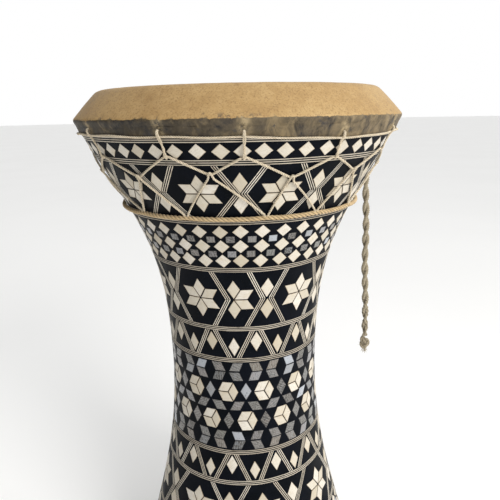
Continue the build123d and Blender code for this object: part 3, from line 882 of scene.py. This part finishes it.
def make_ring(node, name):
    """A laminated strip bent round the wall: three pale lines and two black ones, butted once."""
    low, high = (corner.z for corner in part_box(node))
    middle, half = (low + high) / 2, (high - low) / 2 / MM
    rise = wall_rise(middle)
    half /= rise
    # The photo shows one butt joint; the others are turned to the back
    butt = 25.5 if node.endswith("_08") else hand.uniform(110, 250)
    steps, gap = 420, 0.12
    angles = butt + gap + np.linspace(0, 360 - 2 * gap, steps)
    drift = wander(0.35)
    piece = Piece()
    borders = (2 * np.array(STRIP_LINES) - 1) * (half - 0.1)
    waves = []
    for _ in borders:
        shape = np.zeros(steps)
        for cycles in (1, 2, 3, 5, 8, 13):
            shape += wander(0.05) * np.sin(np.radians(angles * cycles) + hand.uniform(0, 6.28))
        waves.append(shape)
    common = waves[0] * 2 + drift * (np.linspace(0, 1, steps) - 0.5)
    rows, lifts, finishes = [borders[0] + common], [-SIDE_DEPTH], []
    for k in range(0, 6, 2):
        a = borders[k] + waves[k] * 0.5 + common
        b = borders[k + 1] + waves[k + 1] * 0.5 + common
        rows += [a, a + 0.05, b - 0.05, b]
        lifts += [-0.05, 0.05, 0.05, -0.05]
        finishes += [0, 0, 0, 1]
    rows.append(rows[-1])
    lifts.append(-SIDE_DEPTH)
    finishes = [1] + finishes + [1]
    count = len(rows)
    verts, grain = [], []
    degree = math.radians(1) * float(wall_radius(middle)) / MM
    for row, lift in zip(rows, lifts):
        heights = middle + row * rise * MM
        verts.append(on_wall(angles, heights, lift * MM))
        grain.append(np.stack([angles * degree, row, np.full(steps, lift)], axis=1))
    verts, grain = np.concatenate(verts), np.concatenate(grain)
    faces = quads(count, steps, rows_join=True, width_joins=False)
    kinds = [kind for kind in finishes for _ in range(steps - 1)]
    # The two cut ends, which meet at the butt joint
    faces.append(tuple(r * steps for r in range(count)))
    faces.append(tuple(r * steps + steps - 1 for r in reversed(range(count))))
    kinds += [1, 1]
    piece.add(verts, faces, grain, hand.uniform(0.2, 0.6), 0.0, kinds)
    piece.make(name, "stringing", [WHITE, BLACK], replaces=[node])


def make_ground(node, name):
    """A band of black ground, nearly flush with the tiles, a little uneven."""
    low, high = (corner.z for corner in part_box(node))
    rows = max(3, round((high - low) / 0.0025))
    heights = np.linspace(low, high, rows + 1)
    steps = 300
    angles = np.arange(steps) * 360 / steps
    waves = [(hand.randrange(2, 40), hand.uniform(0, 6.28), hand.uniform(60, 900), hand.uniform(0.002, 0.012))
             for _ in range(8)]
    piece = Piece()
    verts = []
    for z in heights:
        lift = np.full(steps, -0.04)
        for cycles, phase, climb, size in waves:
            lift += size * np.sin(np.radians(cycles * angles) + phase + climb * z)
        verts.append(on_wall(angles, z, lift * MM))
    for z in heights[::-1]:
        verts.append(on_wall(angles, z, -1.1 * MM))
    faces = quads(len(verts), steps, rows_join=True)
    verts = np.concatenate(verts)
    piece.add(verts, faces, verts / MM)
    piece.make(name, "black_ground", [BLACK], replaces=[node])


BONE_NODES = ["crown_diamond_tiles", "bowl_star_tiles", "bowl_cross_tiles", "bowl_checker_bone",
              "neck_star_tiles", "neck_cross_tiles", "upper_zigzag_tiles", "hexagon_tiles",
              "lower_zigzag_tiles", "foot_star_tiles", "foot_cross_tiles", "foot_checker_bone",
              "foot_zigzag_tiles", "foot_diamond_tiles"]
PEARL_NODES = ["bowl_checker_pearl", "hexagon_pearl_diamonds", "hexagon_pearl_slips", "foot_checker_pearl"]
STRING_NODES = ["bowl_cross_strings", "neck_cross_strings", "upper_zigzag_strings", "lower_zigzag_strings",
                "foot_cross_strings", "foot_zigzag_strings"]

for node in BONE_NODES:
    make_tiles(node, node + "_set", "bone_inlay", BONE)
for node in PEARL_NODES:
    make_tiles(node, node + "_set", "pearl_inlay", PEARL)
for node in STRING_NODES:
    make_strings(node, node + "_set")
for node in sorted(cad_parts):
    if node.startswith("stringing_ring"):
        make_ring(node, node + "_laid")
    elif node.endswith("_ground"):
        make_ground(node, node + "_layer")

for node in ("bowl_shell", "foot_shell", "foot_bead"):
    for material_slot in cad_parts[node].material_slots:
        material_slot.material = WOOD

# ------------------------------------------------------------------ skin head
SKIN_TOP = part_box("skin_head")[1].z
SKIN_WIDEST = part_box("skin_head")[1].x
SKIN_FLAT_RADIUS = 0.102
SKIN_FOLD_HEIGHT = 0.4104
SKIN_THICKNESS = 0.0011
# Height of the hem round the drum, (angle, height): it rises and falls with the pull of the lacing
HEM = [(-180, 0.4015), (-140, 0.4028), (-100, 0.4008), (-60, 0.4027), (-38, 0.4016), (-18, 0.4013),
       (2, 0.4011), (16, 0.3998), (35, 0.3976), (50, 0.3992), (75, 0.4012), (100, 0.4022),
       (135, 0.4006), (180, 0.4015)]
EYELETS = [-53, -22.5, 1.5, 32, 60, 91, 121, 151, 181, 212, 243, 275]


def hem_height(angles):
    at, heights = zip(*HEM)
    turned = half_turn(np.asarray(angles, float))
    plain = np.interp(turned, at, heights)
    for spread in (6, 12):
        plain = (plain + np.interp(half_turn(turned + spread), at, heights)
                 + np.interp(half_turn(turned - spread), at, heights)) / 3
    return plain


def near_eyelet(angles, width):
    """1 at an eyelet, falling to 0 away from it."""
    pull = np.zeros(len(angles))
    for eyelet in EYELETS:
        away = half_turn(angles - eyelet)
        pull = np.maximum(pull, np.exp(-((away / width) ** 2)))
    return pull


def rounded(corners, radii, pieces=6):
    """A drawn outline with its inner corners rounded."""
    points = [np.array(corners[0], float)]
    for a, b, c, size in zip(corners, corners[1:], corners[2:], radii):
        a, b, c = (np.array(p, float) for p in (a, b, c))
        start, end = b + size * unit(a - b), b + size * unit(c - b)
        for k in range(pieces + 1):
            t = k / pieces
            points.append((1 - t) ** 2 * start + 2 * t * (1 - t) * b + t * t * end)
    points.append(np.array(corners[-1], float))
    return points


def make_skin():
    steps = 480
    angles = np.arange(steps) * 360 / steps
    piece = Piece()
    verts, apron, pulls = [], [], []
    hem = hem_height(angles) - 0.0009 * near_eyelet(angles, 1.6)
    pull = near_eyelet(angles, 1.5)
    ripple = sum(wander(1) * np.sin(np.radians(c * angles) + hand.uniform(0, 6.28))
                 for c in (7, 11, 17, 23, 29, 37, 53)) / 3
    outline = rounded(
        [(SKIN_FLAT_RADIUS - 0.012, SKIN_TOP), (SKIN_FLAT_RADIUS, SKIN_TOP), (SKIN_WIDEST, SKIN_FOLD_HEIGHT),
         (SKIN_WIDEST - 0.0032, SKIN_FOLD_HEIGHT - 0.0062)], (0.0035, 0.002))
    flat = [np.array([r, SKIN_TOP]) for r in np.linspace(0.004, SKIN_FLAT_RADIUS - 0.014, 12)]
    profile = []
    for a, b in zip(flat + outline, (flat + outline)[1:]):
        runs = max(1, round(np.hypot(*(b - a)) / 0.003))
        profile += [a + (b - a) * k / runs for k in range(runs)]
    sin, cos = np.sin(np.radians(angles)), np.cos(np.radians(angles))
    lumps = [(hand.randrange(1, 60), hand.uniform(0, 6.28), wander(500)) for _ in range(14)]

    def unevenness(height):
        total = np.zeros(steps)
        for cycles, phase, climb in lumps:
            total += np.sin(np.radians(cycles * angles) + phase + climb * height)
        return total / 14

    def darkness(drop, height):
        """The apron's grime and painted shade: nothing on the bevel, all of it just under the fold."""
        below = (SKIN_FOLD_HEIGHT - height) / 0.008
        return min(1.0, 0.6 + below) if below > -0.05 else 0.46 * drop**7

    def ring(radius, height, dark):
        verts.append(np.stack([radius * sin, -radius * cos, np.broadcast_to(height, steps)], axis=1))
        apron.append(np.broadcast_to(dark, steps))
        pulls.append(pull)

    for r, z in profile:
        drop = max(0.0, (SKIN_TOP - z) / (SKIN_TOP - SKIN_FOLD_HEIGHT))
        swell = 0.00045 * math.sin(math.pi * min(drop, 1.0))
        radius = r + swell + 0.0003 * drop * unevenness(z) + 0.0003 * drop**4 * ripple
        height = z + 0.00012 * unevenness(r * 2) * min(1.0, r / 0.05)
        ring(radius, height, darkness(min(drop, 1.0), z))
    last_r, last_z = profile[-1]
    rows = 9
    for k in range(rows + 1):
        t = k / rows
        z = last_z + (hem - last_z) * t
        tight = wall_radius(hem) + 0.00135
        radius = last_r + (tight - last_r) * t
        fold = np.sin(np.pi * min(t * 1.1, 1.0))
        radius = radius + 0.00035 * fold * ripple + 0.00055 * fold * near_eyelet(angles, 1.8) - 0.0002 * t
        radius = radius + 0.0002 * unevenness(0.4 + 0.02 * t) * (1 - t)
        ring(radius, z, 1.0)
    # The inner face, back from the hem to the middle; it is thinner where the hide is stretched
    outer = len(verts)
    for k in range(outer - 1, -1, -1):
        v = verts[k].copy()
        away = 1 - SKIN_THICKNESS / np.maximum(np.hypot(v[:, 0], v[:, 1]), 0.004)
        if k >= len(profile):
            v[:, :2] *= away[:, None]
            v[:, 2] += 0.0002 if k == outer - 1 else 0.0
        else:
            slope = min(1.0, max(0.0, (SKIN_TOP - profile[k][1]) / 0.004))
            v[:, :2] *= (1 - (1 - away) * 0.75 * slope)[:, None]
            v[:, 2] -= SKIN_THICKNESS * (1 - 0.35 * slope)
        verts.append(v)
        apron.append(apron[k])
        pulls.append(pull)
    count = len(verts)
    faces = [(a, d, c, b) for a, b, c, d in quads(count, steps)]
    faces.append(tuple(range(steps)))
    faces.append(tuple((count - 1) * steps + i for i in reversed(range(steps))))
    points = np.concatenate(verts)
    piece.add(points, faces, points / MM, list(np.concatenate(pulls)), list(np.concatenate(apron)))
    skin = piece.make("skin_hide", "skin", [rawhide()], replaces=["skin_head"], sharp=60)


make_skin()

# ------------------------------------------------------------------ lacing
LOOPS = [-37.5, -9.5, 17.5, 45, 75.5, 105.5, 136, 166, 196, 227, 259, 291]
LANDINGS = [-22.5, 10.3, 33, 57, 88, 118, 148, 178, 209, 240, 272, 313.5]
EYELET_HEIGHT, LOOP_HEIGHT, ROPE_HEIGHT = 0.388, 0.376, 0.349
LACE_RADIUS, ROPE_RADIUS = 0.0008, 0.0016
LACE_LIFT, ROPE_LIFT = 0.0014, 0.0021
# Shapes of the lacing's turns: (degrees along, metres up, metres out) from where each one sits.
# Over a loop of the upper lacing; through the rope ring; round the upper lacing, from the hem down.
OVER_LOOP = [(-0.9, -0.0026, 0.0002), (-0.5, 0.0006, 0.0013), (0, 0.0017, 0.0012), (0.5, 0.0006, 0.0013),
             (0.9, -0.0026, 0.0002)]
THROUGH_ROPE = [(-0.9, 0.0026, LACE_LIFT + 0.0003), (-0.5, 0.0004, ROPE_LIFT), (0.3, 0.0001, ROPE_LIFT),
                (0.8, 0.0026, LACE_LIFT + 0.0003)]
TIE_AT_HEM = [(0.1, 0.0036, 0.0002), (0.1, 0.0031, 0.0023), (0.192, 0.0006, 0.0034), (0.32, -0.0024, 0.0021)]
TIE_AT_LACE = [(-0.256, 0.0042, 0.0003), (0.32, 0.0014, 0.0011), (0.256, -0.0004, 0.0013),
               (0, -0.0014, 0.0003)]


def lace(piece, points, radius=LACE_RADIUS, pitch=0.0062, closed=False, ease=3):
    """A three-strand twine along (angle, height, lift) points of the wall."""
    line, runs = [], 14
    ahead = points[1:] + ([(points[0][0] + 360, *points[0][1:])] if closed else [])
    for a, b in zip(points, ahead):
        line += [[p + (q - p) * (k / runs) for p, q in zip(a, b)] for k in range(runs)]
    if not closed:
        line.append(list(points[-1]))
    line = np.array(line)
    placed = on_wall(line[:, 0], line[:, 1], line[:, 2])
    placed = softened(resampled(placed, 0.0008, closed), ease, closed)
    outward = outward_from_axis(placed)
    for strand, away in wound(placed, outward, 3, radius * 0.52, pitch, hand.uniform(0, 6), closed):
        tube(piece, strand, away, radius * 0.54, 6, closed, hand.uniform(0.4, 1.0), placed, radius)


def nearest(angles, start):
    """The angles in order, on the one turn that begins at start."""
    return sorted((a - start) % 360 + start for a in angles)


def make_lacing():
    start = math.degrees(TAIL_ANGLE)
    upper, lower, ties = Piece(), Piece(), Piece()
    peaks = nearest(EYELETS, start)
    valleys = nearest(LOOPS, peaks[0])
    heights = {a % 360: EYELET_HEIGHT + wander(0.0008) for a in EYELETS}
    heights.update({-22.5 % 360: 0.3896, 1.5: 0.3888, 32: 0.3868})
    sags = {a % 360: LOOP_HEIGHT + wander(0.001) for a in LOOPS}
    sags.update({-37.5 % 360: 0.3758, -9.5 % 360: 0.3786, 17.5: 0.3754, 45: 0.3768})
    points = []
    for peak, valley in zip(peaks, valleys):
        z, y = heights[peak % 360], sags[valley % 360]
        points += [(peak - 0.5, z, LACE_LIFT), (peak + 0.5, z, LACE_LIFT),
                   (valley - 0.5, y, LACE_LIFT), (valley + 0.5, y, LACE_LIFT)]
    lace(upper, points, closed=True)
    # Every loop of the lower lacing goes over the upper one and is stitched through the rope ring
    crowns = nearest(LOOPS, start - 0.5)
    feet = nearest(LANDINGS, crowns[0])
    points = []
    for crown, foot in zip(crowns, feet):
        y = sags[crown % 360]
        points += [(crown + turn, y + rise, LACE_LIFT + lift) for turn, rise, lift in OVER_LOOP]
        points += [(foot + turn, ROPE_HEIGHT + rise, lift) for turn, rise, lift in THROUGH_ROPE]
    lace(lower, points, LACE_RADIUS * 0.92, closed=True, ease=2)
    # Ties: out of the skin, over the hem cord, down round the upper lacing and up again
    for eyelet in EYELETS:
        z, hem = heights[eyelet % 360], float(hem_height([eyelet])[0])
        top = eyelet + wander(0.25)
        for side in (-1, 1):
            points = [(top + side * turn, hem + rise, lift) for turn, rise, lift in TIE_AT_HEM]
            points += [(eyelet + side * turn, z + rise, LACE_LIFT + lift) for turn, rise, lift in TIE_AT_LACE]
            lace(ties, points, LACE_RADIUS * 0.74, 0.0045, ease=2)
    upper.make("upper_lace", "lacing_twine", [LACE], replaces=["upper_lacing"])
    lower.make("lower_lace", "lacing_twine", [LACE], replaces=["lower_lacing"])
    ties.make("eyelet_tie_set", "lacing_twine", [LACE], replaces=["eyelet_ties"])
    # The cord sewn along the hem dives under the skin and comes out again
    hem_piece = Piece()
    angles = np.arange(0, 360, 2.0)
    lift = 0.0024 + 0.0005 * np.sin(np.radians(angles * 17))
    along_hem = hem_height(angles) - 0.0006 + 0.0003 * np.sin(np.radians(angles * 17) + 1)
    lace(hem_piece, list(zip(angles, along_hem, lift)), 0.00068, 0.005, closed=True, ease=1)
    hem_piece.make("hem_twine", "lacing_twine", [LACE], replaces=["hem_cord"])
    # The rope ring is pulled up a little wherever the lacing lands
    ring = Piece()
    angles = np.arange(0, 360, 0.7)
    pulled = np.zeros(len(angles))
    for foot in LANDINGS:
        away = half_turn(angles - foot)
        pulled += 0.0005 * np.exp(-((away / 4.0) ** 2))
    line = on_wall(angles, ROPE_HEIGHT + pulled - 0.0002, ROPE_LIFT)
    line = resampled(line, 0.0009, True)
    for strand, away in wound(line, outward_from_axis(line), 3, ROPE_RADIUS * 0.52, 0.0095, closed=True):
        tube(ring, strand, away, ROPE_RADIUS * 0.5, 9, True, hand.uniform(0.6, 1.0), line, ROPE_RADIUS)
    fuzz(ring, line, 60, 0.7, 0.0022, ROPE_RADIUS)
    ring.make("rope_ring", "ring_rope", [RING], replaces=["tension_ring"])


make_lacing()


# ------------------------------------------------------------------ floor and light
def make_floor():
    f = Finish("studio_floor")
    cloud = f.noise(f.place(), 2.0, 2, 0.5)
    pale = f.finish(f.ramp(cloud, (0.3, (250, 250, 249)), (0.7, (252, 252, 251))), 0.9)
    mesh = bpy.data.meshes.new("floor")
    rim = [(30 * math.cos(a), 30 * math.sin(a), 0) for a in np.linspace(0, 2 * math.pi, 64, endpoint=False)]
    mesh.from_pydata(rim, [], [tuple(range(64))])
    mesh.materials.append(pale)
    floor = bpy.data.objects.new("floor", mesh)
    bpy.context.collection.objects.link(floor)


def make_light(name, place, target, size, power, colour):
    data = bpy.data.lights.new(name, "AREA")
    data.size, data.energy, data.color = size, power, colour
    light = bpy.data.objects.new(name, data)
    light.location = place
    light.rotation_euler = (Vector(target) - Vector(place)).to_track_quat("-Z", "Y").to_euler()
    bpy.context.collection.objects.link(light)


WORLD_DIM, WORLD_BRIGHT = 0.05, 1.05
BRIGHT_SIDE = (0.85, 0.4, 0.34)


def make_room():
    """A white room, brightest behind the drum and dimmest on the left, so that its sides are modelled."""
    world = bpy.data.worlds.new("studio")
    world.use_nodes = True
    nodes, links = world.node_tree.nodes, world.node_tree.links
    facing = nodes.new("ShaderNodeVectorMath")
    facing.operation = "DOT_PRODUCT"
    facing.inputs[1].default_value = BRIGHT_SIDE
    links.new(nodes.new("ShaderNodeTexCoord").outputs["Generated"], facing.inputs[0])
    level = nodes.new("ShaderNodeMapRange")
    level.interpolation_type = "SMOOTHSTEP"
    level.inputs["From Min"].default_value, level.inputs["From Max"].default_value = -0.5, 0.1
    level.inputs["To Min"].default_value, level.inputs["To Max"].default_value = WORLD_DIM, WORLD_BRIGHT
    links.new(facing.outputs["Value"], level.inputs["Value"])
    backdrop = nodes.new("ShaderNodeMix")  # seen directly, the room is plain white all round
    links.new(nodes.new("ShaderNodeLightPath").outputs["Is Camera Ray"], backdrop.inputs[0])
    links.new(level.outputs[0], backdrop.inputs[2])
    backdrop.inputs[3].default_value = 1.0
    links.new(backdrop.outputs[0], nodes["Background"].inputs["Strength"])
    nodes["Background"].inputs["Color"].default_value = (1, 1, 1, 1)
    bpy.context.scene.world = world


make_floor()
make_light("key", (1.2, -1.5, 1.2), (0, 0, 0.33), 0.9, 30, (1.0, 0.98, 0.95))
make_room()
bpy.context.scene.view_settings.view_transform = "Standard"
